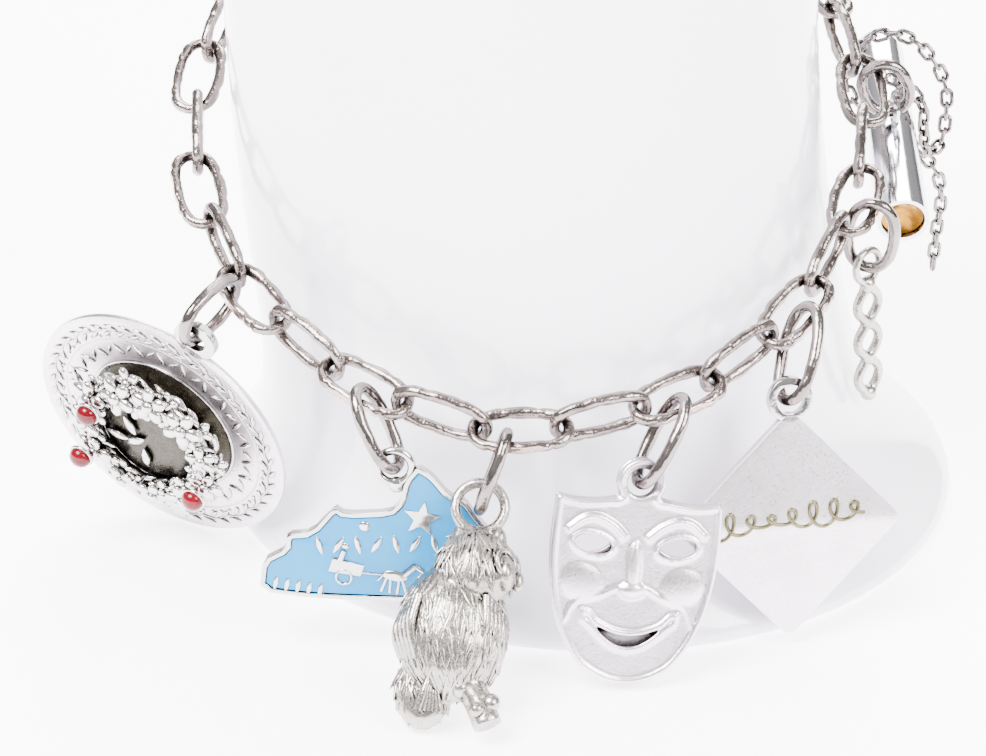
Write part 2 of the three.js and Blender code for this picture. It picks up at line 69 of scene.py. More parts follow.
# The enamelled plate's outline from its bail hole.
STATE = [
    (-9.1, -12.6), (-9.2, -9.8), (-7.5, -8.5), (-7.6, -7.2), (-5.7, -6.7), (-4.2, -4.1), (-3.3, -4.6),
    (0.2, -3.8), (0.9, -2.8), (1.0, -0.9), (1.8, 0.5), (3.1, -0.1), (4.6, -1.5), (5.9, -1.7), (7.3, -3.2),
    (8.7, -4.3), (9.8, -6.5), (8.4, -8.4), (6.5, -9.9), (3.7, -11.2), (-4.6, -12.4),
]

# The cart, the horse's legs, neck and head, and the driver: (from, to), radius.
FIGURE_LINES = (
    (((-1.4, -9.5), (0.7, -9.3)), 0.09), (((0.8, -9.5), (0.5, -10.8)), 0.14),
    (((1.1, -9.5), (1.2, -10.8)), 0.13), (((2.0, -9.4), (2.5, -10.6)), 0.14),
    (((1.8, -9.5), (1.8, -10.8)), 0.13), (((2.1, -9.1), (2.9, -8.1)), 0.27),
    (((2.8, -8.1), (3.6, -8.5)), 0.2), (((0.6, -9.1), (0.1, -9.9)), 0.12),
    (((-3.1, -8.7), (-2.9, -7.8)), 0.26),
)

# The safety chain's line, round the tube and down.
SAFETY_ROUTE = [
    (25.4, 8.8, 33.7), (27.0, 8.4, 33.1), (28.4, 8.2, 31.4), (28.8, 8.6, 28.6), (29.5, 9.6, 26.5),
    (30.6, 11.0, 26.6), (31.1, 12.2, 28.8), (30.9, 13.0, 31.4), (29.6, 13.7, 33.6), (27.6, 14.2, 35.2),
    (25.4, 14.5, 35.4), (23.1, 14.6, 33.7), (22.4, 14.4, 31.0), (24.0, 13.8, 28.4), (26.6, 13.0, 27.0),
    (28.8, 12.4, 25.4), (30.6, 12.1, 23.4), (31.2, 12.0, 21.4), (31.1, 12.0, 17.6), (31.0, 12.0, 14.0),
]

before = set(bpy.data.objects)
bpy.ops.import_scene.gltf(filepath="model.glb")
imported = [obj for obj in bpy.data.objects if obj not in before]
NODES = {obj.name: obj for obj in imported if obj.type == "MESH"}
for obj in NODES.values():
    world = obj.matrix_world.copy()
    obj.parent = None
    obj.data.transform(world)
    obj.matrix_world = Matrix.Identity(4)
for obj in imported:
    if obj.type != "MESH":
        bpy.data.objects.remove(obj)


# ---------------------------------------------------------------- geometry

def place(name):
    """The charm's own frame: x to its right, y to its back, z up, in mm."""
    at, yaw, lean, roll = PLACES[name]
    turn = Matrix.Identity(4)
    for angle, axis in ((yaw, "Z"), (lean, "X"), (roll, "Y")):
        turn = turn @ Matrix.Rotation(math.radians(angle), 4, axis)
    return Matrix.Translation(Vector(at) * MM) @ turn @ Matrix.Scale(MM, 4)


def face(name):
    """The charm's frame stood on its face: x right, y up, z out of the front, in mm."""
    return place(name) @ Matrix.Rotation(math.pi / 2, 4, "X")


def activate(*objects):
    bpy.ops.object.select_all(action="DESELECT")
    for obj in objects:
        obj.select_set(True)
    bpy.context.view_layer.objects.active = objects[0]


def apply_place(obj):
    activate(obj)
    bpy.ops.object.transform_apply(location=True, rotation=True, scale=True)
    return obj


def apply_modifier(obj, kind, **settings):
    activate(obj)
    modifier = obj.modifiers.new(kind.title(), kind)
    for key, value in settings.items():
        setattr(modifier, key, value)
    bpy.ops.object.modifier_apply(modifier=modifier.name)
    return obj


def edit(obj, *steps):
    """Runs edit-mode operators on the whole mesh."""
    activate(obj)
    bpy.ops.object.mode_set(mode="EDIT")
    bpy.ops.mesh.select_all(action="SELECT")
    for step, options in steps:
        step(**options)
    bpy.ops.object.mode_set(mode="OBJECT")
    return obj


def smooth(obj, angle=180):
    activate(obj)
    if angle >= 180:
        bpy.ops.object.shade_smooth()
    else:
        bpy.ops.object.shade_smooth_by_angle(angle=math.radians(angle))
    return obj


def paint(obj, material):
    obj.data.materials.clear()
    obj.data.materials.append(material)
    return obj


def join(name, objects):
    activate(*objects)
    if len(objects) > 1:
        bpy.ops.object.join()
    obj = bpy.context.view_layer.objects.active
    obj.name = name
    return obj


def settle(obj, matrix):
    """Moves a piece modelled in its own millimetres to its place and keeps the place in the mesh."""
    bpy.context.view_layer.update()
    obj.matrix_world = matrix @ obj.matrix_world
    return apply_place(obj)


def hand_over(obj, node):
    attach(obj, "root")
    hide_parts(node)


def refined(node, name, levels=1, angle=180):
    """A copy of a CAD node, merged to quads and smoothed."""
    activate(NODES[node])
    bpy.ops.object.duplicate()
    obj = bpy.context.object
    obj.parent = None
    obj.name = name
    for key in list(obj.keys()):
        del obj[key]
    obj.data.materials.clear()
    bpy.ops.mesh.customdata_custom_splitnormals_clear()
    edit(
        obj,
        (bpy.ops.mesh.remove_doubles, {"threshold": 1e-7}),
        (bpy.ops.mesh.tris_convert_to_quads, {"face_threshold": 0.9, "shape_threshold": 0.9}),
    )
    if levels:
        apply_modifier(obj, "SUBSURF", levels=levels)
    return smooth(obj, angle)


def rod(name, points, radius, closed=False, sides=3, fine=5):
    """A round rod along a smooth line."""
    bpy.ops.object.select_all(action="DESELECT")
    bpy.ops.curve.primitive_bezier_curve_add()
    obj = bpy.context.object
    obj.name = name
    curve = obj.data
    curve.splines.clear()
    spline = curve.splines.new("BEZIER")
    spline.bezier_points.add(len(points) - 1)
    for knot, point in zip(spline.bezier_points, points):
        knot.co = point
        knot.handle_left_type = knot.handle_right_type = "AUTO"
    spline.use_cyclic_u = closed
    curve.resolution_u = fine
    curve.bevel_depth = radius
    curve.bevel_resolution = sides
    curve.use_fill_caps = True
    bpy.ops.object.convert(target="MESH")
    return smooth(bpy.context.object)


def sheet_of(name, outlines, low, high, round_edge):
    """A flat plate between two heights, with any later outlines as holes and its edges rounded."""
    bpy.ops.object.select_all(action="DESELECT")
    bpy.ops.curve.primitive_bezier_curve_add()
    obj = bpy.context.object
    obj.name = name
    curve = obj.data
    curve.splines.clear()
    curve.dimensions = "2D"
    curve.fill_mode = "BOTH"
    for outline in outlines:
        spline = curve.splines.new("POLY")
        spline.points.add(len(outline) - 1)
        for point, (x, y) in zip(spline.points, outline):
            point.co = (x, y, 0, 1)
        spline.use_cyclic_u = True
    bpy.ops.object.convert(target="MESH")
    obj = bpy.context.object
    obj.location.z = (low + high) / 2
    apply_place(obj)
    edit(obj, (bpy.ops.mesh.remove_doubles, {"threshold": 1e-4}))
    apply_modifier(obj, "SOLIDIFY", thickness=high - low, offset=0)
    edit(obj, (bpy.ops.mesh.normals_make_consistent, {"inside": False}))
    apply_modifier(obj, "BEVEL", width=round_edge, segments=3, limit_method="ANGLE", angle_limit=math.radians(50))
    return smooth(obj, 40)


def lathe(name, profile, steps=128):
    """A profile of (radius, height) turned round z."""
    bpy.ops.object.select_all(action="DESELECT")
    bpy.ops.curve.primitive_bezier_curve_add()
    obj = bpy.context.object
    obj.name = name
    obj.data.splines.clear()
    spline = obj.data.splines.new("POLY")
    spline.points.add(len(profile) - 1)
    for point, (r, h) in zip(spline.points, profile):
        point.co = (r, 0, h, 1)
    bpy.ops.object.convert(target="MESH")
    obj = bpy.context.object
    apply_modifier(obj, "SCREW", steps=steps, render_steps=steps, use_merge_vertices=True, merge_threshold=1e-4)
    edit(
        obj,
        (bpy.ops.mesh.remove_doubles, {"threshold": 1e-4}),
        (bpy.ops.mesh.normals_make_consistent, {"inside": False}),
    )
    return smooth(obj, 35)


def torus(centre, radius, wire, axis=(0, 0, 1), around=40, across=12):
    bpy.ops.object.select_all(action="DESELECT")
    bpy.ops.mesh.primitive_torus_add(
        location=centre, rotation=Vector((0, 0, 1)).rotation_difference(Vector(axis)).to_euler(),
        major_radius=radius, minor_radius=wire, major_segments=around, minor_segments=across,
    )
    return smooth(apply_place(bpy.context.object))


def blob(centre, half, turn=0, segments=16, rings=10):
    """An ellipsoid, turned about z."""
    bpy.ops.object.select_all(action="DESELECT")
    bpy.ops.mesh.primitive_uv_sphere_add(
        segments=segments, ring_count=rings, radius=1, location=centre, rotation=(0, 0, turn), scale=half
    )
    return smooth(apply_place(bpy.context.object))


def scatter(name, model, matrices):
    """Copies of one model, each with its own place, as one mesh. The model is used up."""
    copies = []
    for matrix in matrices:
        copy = model.copy()
        copy.data = model.data.copy()
        bpy.context.collection.objects.link(copy)
        copy.matrix_world = matrix
        copies.append(apply_place(copy))
    bpy.data.objects.remove(model)
    return join(name, copies)


def frame_at(point, along, normal):
    """A frame with x along and z near the normal."""
    x = Vector(along).normalized()
    y = Vector(normal).cross(x).normalized()
    z = x.cross(y)
    turn = Matrix((x, y, z)).transposed().to_4x4()
    return Matrix.Translation(Vector(point)) @ turn


def ring_places(count, radius, height, turn=0.0, tilt=0.0, scale=1.0, shift=0.0):
    """Frames spread round z, each with x pointing outwards turned by the given angle."""
    made = []
    for i in range(count):
        angle = 2 * math.pi * (i + shift) / count
        made.append(
            Matrix.Translation(
                (HAT_MIDDLE[0] + radius * math.cos(angle), HAT_MIDDLE[1] + radius * math.sin(angle), height)
            )
            @ Matrix.Rotation(angle + turn, 4, "Z") @ Matrix.Rotation(tilt, 4, "Y") @ Matrix.Scale(scale, 4)
        )
    return made


def leaf(length, width, thick):
    """A pointed leaf with a midrib, along x."""
    obj = blob((0, 0, 0), (1, 1, 1), segments=10, rings=8)
    obj.rotation_euler.y = math.pi / 2
    apply_place(obj)
    for v in obj.data.vertices:
        taper = 1 - 0.55 * abs(v.co.x) ** 1.5
        rib = 1 - 0.45 * math.exp(-((v.co.y / 0.22) ** 2))
        v.co = Vector((v.co.x * length / 2, v.co.y * width / 2 * taper, v.co.z * thick / 2 * rib))
    return obj


def bezier(points, count):
    """Points along one Bezier segment of any degree, without the last."""
    made = []
    for i in range(count):
        t = i / count
        level = [Vector(p) for p in points]
        while len(level) > 1:
            level = [a.lerp(b, t) for a, b in zip(level, level[1:])]
        made.append(tuple(level[0]))
    return made


def oval(centre, half, turn=0.0, count=28):
    c, s = math.cos(turn), math.sin(turn)
    made = []
    for i in range(count):
        a = 2 * math.pi * i / count
        x, y = half[0] * math.cos(a), half[1] * math.sin(a)
        made.append((centre[0] + c * x - s * y, centre[1] + s * x + c * y))
    return made


def inset(outline, distance):
    """The outline drawn in by a distance."""
    area = sum(a[0] * b[1] - b[0] * a[1] for a, b in zip(outline, outline[1:] + outline[:1]))
    side = 1 if area > 0 else -1
    made = []
    for before, here, after in zip(outline[-1:] + outline[:-1], outline, outline[1:] + outline[:1]):
        a, p, b = Vector(before), Vector(here), Vector(after)
        n1 = Vector((-(p - a).y, (p - a).x)).normalized() * side
        n2 = Vector((-(b - p).y, (b - p).x)).normalized() * side
        n = (n1 + n2).normalized()
        made.append(tuple(p + n * distance / max(0.5, n.dot(n1))))
    return made


def eased(outline, steps=2):
    """Corners cut twice so that a drawn outline turns softly."""
    for _ in range(steps):
        made = []
        for here, after in zip(outline, outline[1:] + outline[:1]):
            a, b = Vector(here), Vector(after)
            made += [tuple(a.lerp(b, 0.2)), tuple(a.lerp(b, 0.8))]
        outline = made
    return outline


# --------------------------------------------------------------- materials

def colour(hex_code):
    """sRGB hex to the linear colour that the nodes take."""
    parts = [int(hex_code[i:i + 2], 16) / 255 for i in (1, 3, 5)]
    return (*[p / 12.92 if p <= 0.04045 else ((p + 0.055) / 1.055) ** 2.4 for p in parts], 1.0)


def add(tree, kind, inputs=None, **settings):
    """Adds a node; an input that is a socket is linked and any other value is set."""
    made = tree.nodes.new(kind)
    for key, value in settings.items():
        setattr(made, key, value)
    for key, value in (inputs or {}).items():
        if isinstance(value, bpy.types.NodeSocket):
            tree.links.new(value, made.inputs[key])
        else:
            made.inputs[key].default_value = value
    return made


def ramp(tree, value, stops):
    made = add(tree, "ShaderNodeValToRGB", {"Fac": value})
    elements = made.color_ramp.elements
    while len(elements) < len(stops):
        elements.new(0.5)
    for element, (position, shade) in zip(elements, stops):
        element.position = position
        element.color = (shade, shade, shade, 1)
    return made.outputs["Color"]


def mixed(tree, factor, a, b, blend="MIX"):
    made = tree.nodes.new("ShaderNodeMix")
    made.data_type = "RGBA"
    made.blend_type = blend
    for socket, value in ((made.inputs[0], factor), (made.inputs[6], a), (made.inputs[7], b)):
        if isinstance(value, bpy.types.NodeSocket):
            tree.links.new(value, socket)
        else:
            socket.default_value = value
    return made.outputs[2]


def surface(name):
    material = bpy.data.materials.get(name) or bpy.data.materials.new(name)
    material.use_nodes = True
    material.node_tree.nodes.clear()
    return material, material.node_tree


def finish_surface(tree, inputs):
    shader = add(tree, "ShaderNodeBsdfPrincipled", inputs)
    output = add(tree, "ShaderNodeOutputMaterial")
    tree.links.new(shader.outputs["BSDF"], output.inputs["Surface"])


def silver(
    name, light, dark, rough, dent=0.0, dent_scale=700, grain=0.15, tarnish=0.3, shade_reach=0.0006, polish=None
):
    """Silver that is light in the open and darker in its hollows and where parts touch, through painted shade from an
    occlusion node, and darker in random tarnish stains.

    Hollows about 1 mm across come from dent_scale, stains of about 4 mm from the cloud and a grain
    of about 0.14 mm from the fine noise. A real blast is finer than that and would not show.
    """
    material, tree = surface(name)
    where = add(tree, "ShaderNodeTexCoord").outputs["Object"]
    big = add(tree, "ShaderNodeTexNoise", {"Vector": where, "Scale": dent_scale, "Detail": 3.0}).outputs["Fac"]
    cloud = add(tree, "ShaderNodeTexNoise", {"Vector": where, "Scale": 260.0, "Detail": 6.0}).outputs["Fac"]
    fine = add(tree, "ShaderNodeTexNoise", {"Vector": where, "Scale": 7000.0, "Detail": 4.0}).outputs["Fac"]
    # Painted shade: the occlusion node darkens hollows and the gaps where parts touch or overlap. The cloud noise
    # below adds real tarnish stains.
    open_sky = add(tree, "ShaderNodeAmbientOcclusion", {"Distance": shade_reach}, samples=6).outputs["AO"]
    painted_shade = ramp(tree, open_sky, [(0.35, 1.0), (0.85, 0.0)])
    stain = ramp(tree, cloud, [(0.45, 0.0), (0.75, tarnish)])
    tarnish_and_shade = mixed(tree, 1.0, painted_shade, stain, "LIGHTEN")
    base = mixed(tree, tarnish_and_shade, colour(light), colour(dark))
    roughness = ramp(tree, fine, [(0.2, max(0.03, rough - 0.1)), (0.8, rough + 0.1)])
    if polish:
        rubbed = add(tree, "ShaderNodeAttribute", attribute_name="polish").outputs["Fac"]
        base = mixed(tree, rubbed, base, colour(polish))
        roughness = mixed(tree, rubbed, roughness, (0.12, 0.12, 0.12, 1))
    relief = add(tree, "ShaderNodeBump", {"Height": fine, "Strength": grain, "Distance": 0.00004}).outputs["Normal"]
    if dent:
        hollows = {"Height": big, "Strength": dent, "Distance": 0.0003, "Normal": relief}
        relief = add(tree, "ShaderNodeBump", hollows).outputs["Normal"]
    finish_surface(tree, {"Base Color": base, "Metallic": 1.0, "Roughness": roughness, "Normal": relief})
    return material


def glaze(name, tone, deep, rough, coat=0.0, metallic=0.0, scale=300.0, glow=0.0, shine=0.5):
    """A smooth even surface with a faint drift of tone."""
    material, tree = surface(name)
    where = add(tree, "ShaderNodeTexCoord").outputs["Object"]
    drift = add(tree, "ShaderNodeTexNoise", {"Vector": where, "Scale": scale, "Detail": 3.0}).outputs["Fac"]
    base = mixed(tree, ramp(tree, drift, [(0.35, 0.0), (0.75, 1.0)]), colour(tone), colour(deep))
    relief = add(tree, "ShaderNodeBump", {"Height": drift, "Strength": 0.05, "Distance": 0.0004}).outputs["Normal"]
    inputs = {
        "Base Color": base, "Metallic": metallic, "Roughness": rough, "Normal": relief,
        "Coat Weight": coat, "Coat Roughness": 0.04, "Specular IOR Level": shine,
    }
    if glow:
        inputs.update({"Emission Color": base, "Emission Strength": glow})
    finish_surface(tree, inputs)
    return material


def tarnished_silver():
    # Cast and hammered silver, tarnished in dark stains and rubbed on its high spots; its hollows and joints are
    # darkened with painted shade.
    return silver("Silver, cast, hammered and tarnished", "#867b77", "#1c1813", 0.22, dent=0.6, dent_scale=900,
                  grain=0.3, tarnish=0.7, shade_reach=0.0014, polish="#a8928b")


def bright_silver():
    # Drawn silver wire and sheet, polished.
    return silver("Silver, drawn and polished", "#c0bcbb", "#47423c", 0.14, dent=0.15,
                  grain=0.08, tarnish=0.2, shade_reach=0.0009)


def worn_silver():
    # Drawn silver wire, dulled with wear.
    return silver("Silver, drawn and worn", "#857c79", "#241f1b", 0.18, dent=0.35,
                  dent_scale=800, grain=0.2, tarnish=0.55, shade_reach=0.0012)


def matte_silver():
    # Pressed silver sheet, frosted with a fine blast.
    return silver("Silver, pressed and frosted", "#dad0d6", "#4a4244", 0.32, dent=0.1,
                  grain=0.55, tarnish=0.16, shade_reach=0.0012)


def cast_silver():
    # Cast silver flowers and leaves, left bright.
    return silver("Silver, cast and bright", "#cbc7c5", "#5a554f", 0.2, dent=0.3,
                  dent_scale=1500, grain=0.2, tarnish=0.15, shade_reach=0.0005)


def antique_silver():
    # Cast silver, darker in its hollows and between overlapping parts through painted shade from the occlusion node.
    return silver("Silver, cast, with painted shade in its hollows", "#a8a29c", "#39342d", 0.28, dent=0.3,
                  dent_scale=1200, grain=0.25, tarnish=0.4, shade_reach=0.0009)


def dark_silver():
    # Pressed silver sheet, oxidised all over; a wide occlusion reach adds painted shade on the crown under the
    # wreath.
    return silver("Silver, pressed and oxidised", "#38342c", "#15130e", 0.28, dent=0.4,
                  dent_scale=500, grain=0.3, tarnish=0.6, shade_reach=0.003)


# ------------------------------------------------------------------ pieces

class BRACELET_PG_settings(PropertyGroup):
    hammer_depth: FloatProperty(
        name="Hammer depth", description="How deep the hammered hollows of the links are",
        default=0.00026, min=0.0, max=0.0004, subtype="DISTANCE", unit="LENGTH",
    )
    border_leaves: IntProperty(
        name="Border leaves", description="How many leaves are raised round the hat's brim",
        default=44, min=8, max=90,
    )
    wreath_leaves: IntProperty(
        name="Wreath leaves", description="How many leaves are in each row of the hat's wreath",
        default=24, min=8, max=60,
    )
    wreath_flowers: IntProperty(
        name="Wreath flowers", description="How many flowers are on the hat's wreath", default=11, min=3, max=24,
    )
    feather: FloatProperty(
        name="Feather width", description="Width of one of the owl's feathers, in mm of its own frame",
        default=1.15, min=0.6, max=3.0,
    )
    safety_pitch: FloatProperty(
        name="Safety chain pitch", description="Distance from one link of the safety chain to the next",
        default=0.00112, min=0.0006, max=0.002, subtype="DISTANCE", unit="LENGTH",
    )


class BRACELET_OT_stand(Operator):
    """Build the plain display stand"""

    bl_idname = "bracelet.stand"
    bl_label = "Stand"

    def execute(self, context):
        stand = refined("stand", "Stand", levels=1, angle=50)
        # Glossy white moulded plastic.
        paint(stand, glaze("Plastic, moulded white and glossy", "#f1eff6", "#e9e6f0", 0.16, coat=0.5, scale=14.0))
        hand_over(stand, "stand")
        return {"FINISHED"}


class BRACELET_OT_links(Operator):
    """Build the links, the clasp and the jump rings"""

    bl_idname = "bracelet.links"
    bl_label = "Chain"

    def execute(self, context):
        settings = context.scene.bracelet
        hollows = bpy.data.textures.new("Hammer", "CLOUDS")
        hollows.noise_scale = 0.0011
        metal = tarnished_silver()
        for number in [n for n in range(1, 31) if n != 23]:
            node = f"link_{number if number < 23 else number - 1:02d}"
            if node not in NODES:
                raise RuntimeError(f"the frame has no {node}")
            link = refined(node, f"Link_{number:02d}", levels=2)
            self.flatten(link, number % 2 == 0)
            apply_modifier(
                link, "DISPLACE", texture=hollows, texture_coords="LOCAL",
                strength=settings.hammer_depth, mid_level=0.6,
            )
            apply_modifier(link, "DISPLACE", strength=0.055 * MM, mid_level=0)
            hand_over(paint(link, metal), node)
        clasp = refined("clasp", "Clasp", levels=1, angle=60)
        hand_over(paint(clasp, metal), "clasp")
        worn = worn_silver()
        for name in ("hat", "state", "owl", "mask", "plaque", "openwork", "tube"):
            ring = refined(f"{name}_ring", f"Ring_{name}", levels=2)
            apply_modifier(
                ring, "DISPLACE", texture=hollows, texture_coords="LOCAL", strength=0.14 * MM, mid_level=0.5
            )
            apply_modifier(ring, "DISPLACE", strength=0.03 * MM, mid_level=0)
            hand_over(paint(ring, worn), f"{name}_ring")
        return {"FINISHED"}

    @staticmethod
    def flatten(link, on_edge):
        """Rubs a flat on the outer bar of a link that stands on edge, between two notches."""
        mesh = link.data
        points = np.empty(len(mesh.vertices) * 3)
        mesh.vertices.foreach_get("co", points)
        points = points.reshape(-1, 3)
        middle = points.mean(0)
        axes = np.linalg.svd(points - middle, full_matrices=False)[2]
        outward = np.array(Vector(middle) - LOOP_CENTRE)
        outward[2] = 0
        across = axes[1] if axes[1] @ outward > 0 else -axes[1]
        along = (points - middle) @ axes[0]
        height = (points - middle) @ across
        polish = np.zeros(len(points))
        dent = 0.14 * MM * np.exp(-(((np.abs(along) - 1.3 * MM) / (0.3 * MM)) ** 2))
        points -= np.outer(dent * np.sign(height) * (np.abs(height) > height.max() - 0.45 * MM), across)
        if on_edge:
            limit = height.max() - 0.17 * MM
            inside = (np.abs(along) < 2.15 * MM) & (height > limit)
            points -= np.outer(np.where(inside, height - limit, 0), across)
            notch = 0.16 * MM * np.exp(-(((np.abs(along) - 2.5 * MM) / (0.17 * MM)) ** 2))
            notch = notch * (height > limit - 0.5 * MM)
            points -= np.outer(notch, across)
            polish = np.clip((height - limit + 0.1 * MM) / (0.1 * MM), 0, 1) * (np.abs(along) < 2.3 * MM)
        mesh.vertices.foreach_set("co", points.ravel())
        attribute = mesh.attributes.new("polish", "FLOAT", "POINT")
        attribute.data.foreach_set("value", polish)
        mesh.update()


class BRACELET_OT_hat(Operator):
    """Build the hat charm: brim, crown, wreath and stones"""

    bl_idname = "bracelet.hat"
    bl_label = "Hat"

    def execute(self, context):
        settings = context.scene.bracelet
        where = face("hat")
        matte, bright = matte_silver(), bright_silver()
        brim = lathe("Hat_brim", BRIM, 160)
        brim.location = (*HAT_MIDDLE, 0)
        apply_place(brim)
        tab = sheet_of("Tab", [oval((0, 0), (1.9, 1.9)), oval((0, 0), (1.0, 1.0))], -0.25, 0.45, 0.15)
        paint(brim, matte)
        paint(tab, bright)
        rim = paint(torus((*HAT_MIDDLE, 0.1), 11.52, 0.27, around=160), bright)
        line = paint(torus((*HAT_MIDDLE, 0.2), 9.35, 0.1, around=128, across=8), bright)
        inner = paint(torus((*HAT_MIDDLE, 0.06), 6.75, 0.16, around=128, across=8), bright)
        up = paint(leaf(1.35, 0.5, 0.42), bright)
        border = scatter("Border", up, ring_places(settings.border_leaves, 10.72, 0.4, turn=math.radians(62)))
        down = paint(leaf(1.15, 0.45, 0.42), bright)
        border_in = scatter(
            "Border_in", down, ring_places(settings.border_leaves, 10.02, 0.34, turn=math.radians(118), shift=0.5)
        )
        wave = []
        for i in range(176):
            angle = 2 * math.pi * i / 176
            radius = 10.38 + 0.16 * math.sin(settings.border_leaves / 2 * angle)
            wave.append((HAT_MIDDLE[0] + radius * math.cos(angle), HAT_MIDDLE[1] + radius * math.sin(angle), 0.36))
        vine = paint(rod("Vine", wave, 0.09, closed=True, sides=1, fine=1), bright)
        dash = paint(leaf(1.6, 0.5, 0.46), bright)
        spots = ring_places(24, 8.3, 0.15, turn=0.45)
        spots += ring_places(24, 8.3, 0.15, turn=-0.75, shift=0.45, scale=0.8)
        marks = scatter("Marks", dash, spots)
        dot = paint(blob((0, 0, 0), (0.17, 0.17, 0.14), segments=8, rings=6), matte)
        dots = scatter("Dots", dot, ring_places(60, 9.75, 0.3, shift=0.5))
        brim = join("Hat_brim", [brim, tab, rim, line, inner, border, border_in, vine, marks, dots])
        hand_over(settle(brim, where), "hat_brim")

        crown = lathe("Hat_crown", CROWN, 96)
        crown.location = (*HAT_MIDDLE, 0)
        apply_place(crown)
        edge = torus((*HAT_MIDDLE, 2.1), 4.6, 0.2, around=96, across=8)
        crown = join("Hat_crown", [paint(crown, dark_silver()), paint(edge, bright)])
        hand_over(settle(crown, where), "hat_crown")

        shiny = cast_silver()
        chance = random.Random(11)
        parts = [paint(torus((*HAT_MIDDLE, 2.2), 5.6, 0.6, around=80, across=8), shiny)]
        for title, count, radius, height, turn, tilt, size in (
            ("Leaves_low", settings.wreath_leaves, 6.3, 1.7, 1.2, 0.3, 2.2),
            ("Leaves_out", settings.wreath_leaves, 6.1, 2.6, -1.2, 0.3, 2.2),
            ("Leaves_top", settings.wreath_leaves, 5.6, 3.1, 1.5, 0.0, 2.2),
            ("Leaves_in", settings.wreath_leaves, 4.8, 2.7, 1.9, 0.2, 2.2),
        ):
            spots = ring_places(count, radius, height, turn=turn, tilt=tilt, shift=chance.random())
            spots = [
                spot @ Matrix.Rotation(chance.uniform(-0.7, 0.7), 4, "Z")
                @ Matrix.Rotation(chance.uniform(-0.5, 0.5), 4, "X")
                @ Matrix.Scale(chance.uniform(0.75, 1.15), 4) for spot in spots
            ]
            parts.append(scatter(title, paint(leaf(size, size * 0.46, 0.6), shiny), spots))
        petals = [blob((0.42 * math.cos(a), 0.42 * math.sin(a), 0), (0.36, 0.25, 0.16), turn=a, segments=10, rings=6)
                  for a in [2 * math.pi * k / 5 for k in range(5)]]
        petals.append(blob((0, 0, 0.12), (0.24, 0.24, 0.2), segments=10, rings=6))
        flower = paint(join("Flower", petals), shiny)
        spots = []
        for row, (radius, height, size) in enumerate(((5.8, 3.2, 2.1), (5.0, 3.0, 1.7), (6.4, 2.4, 1.6))):
            for spot in ring_places(settings.wreath_flowers, radius, height, turn=0.3, tilt=0.25, shift=0.35 * row):
                spots.append(
                    spot @ Matrix.Translation((chance.uniform(-0.3, 0.3), 0, 0))
                    @ Matrix.Scale(size * chance.uniform(0.8, 1.2), 4)
                )
        parts.append(scatter("Flowers", flower, spots))
        sprig = paint(leaf(2.2, 0.9, 0.6), shiny)
        middle = Matrix.Translation((*HAT_MIDDLE, 2.65))
        spots = [
            middle @ Matrix.Translation((x, y, 0)) @ Matrix.Rotation(turn, 4, "Z")
            for x, y, turn in ((-1.9, 0.9, 2.4), (-1.0, -0.6, 0.9), (0.4, -1.9, -1.1), (-2.6, -1.2, 3.4))
        ]
        parts.append(scatter("Sprig", sprig, spots))
        for turn, start, end in SPRAYS:
            a = math.radians(turn)
            out = Vector((math.cos(a), math.sin(a)))
            middle = Vector(HAT_MIDDLE)
            stem = [(*(middle + out * (start + (end - start) * k / 4)), 2.7 - 1.5 * (k / 4)) for k in range(5)]
            parts.append(paint(rod("Stem", stem, 0.16, sides=1), shiny))
            model = paint(leaf(1.3, 0.6, 0.34), shiny)
            spots = []
            for k, point in enumerate(stem[1:]):
                for side in (-1, 1):
                    spots.append(
                        Matrix.Translation(point) @ Matrix.Rotation(a + side * 0.8, 4, "Z")
                        @ Matrix.Translation((0.45, 0, 0))
                    )
            parts.append(scatter("Spray", model, spots))
        wreath = join("Hat_wreath", parts)
        hand_over(settle(wreath, where), "hat_wreath")

        # Cherry red glass in a polished bezel.
        glass = glaze("Glass, cut, cherry red", "#60000c", "#4a0009", 0.12, shine=0.3)
        back = where.inverted()
        for number in (1, 2, 3):
            low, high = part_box(f"hat_stone_{number}")
            centre = back @ ((low + high) / 2)
            stone = blob(centre + Vector((0, 0, 0.15)), (0.95, 0.95, 0.75), segments=16, rings=10)
            bezel = torus(centre - Vector((0, 0, 0.1)), 0.95, 0.16, around=28, across=8)
            stone = join(f"Hat_stone_{number}", [paint(stone, glass), paint(bezel, bright)])
            hand_over(settle(stone, where), f"hat_stone_{number}")
        return {"FINISHED"}


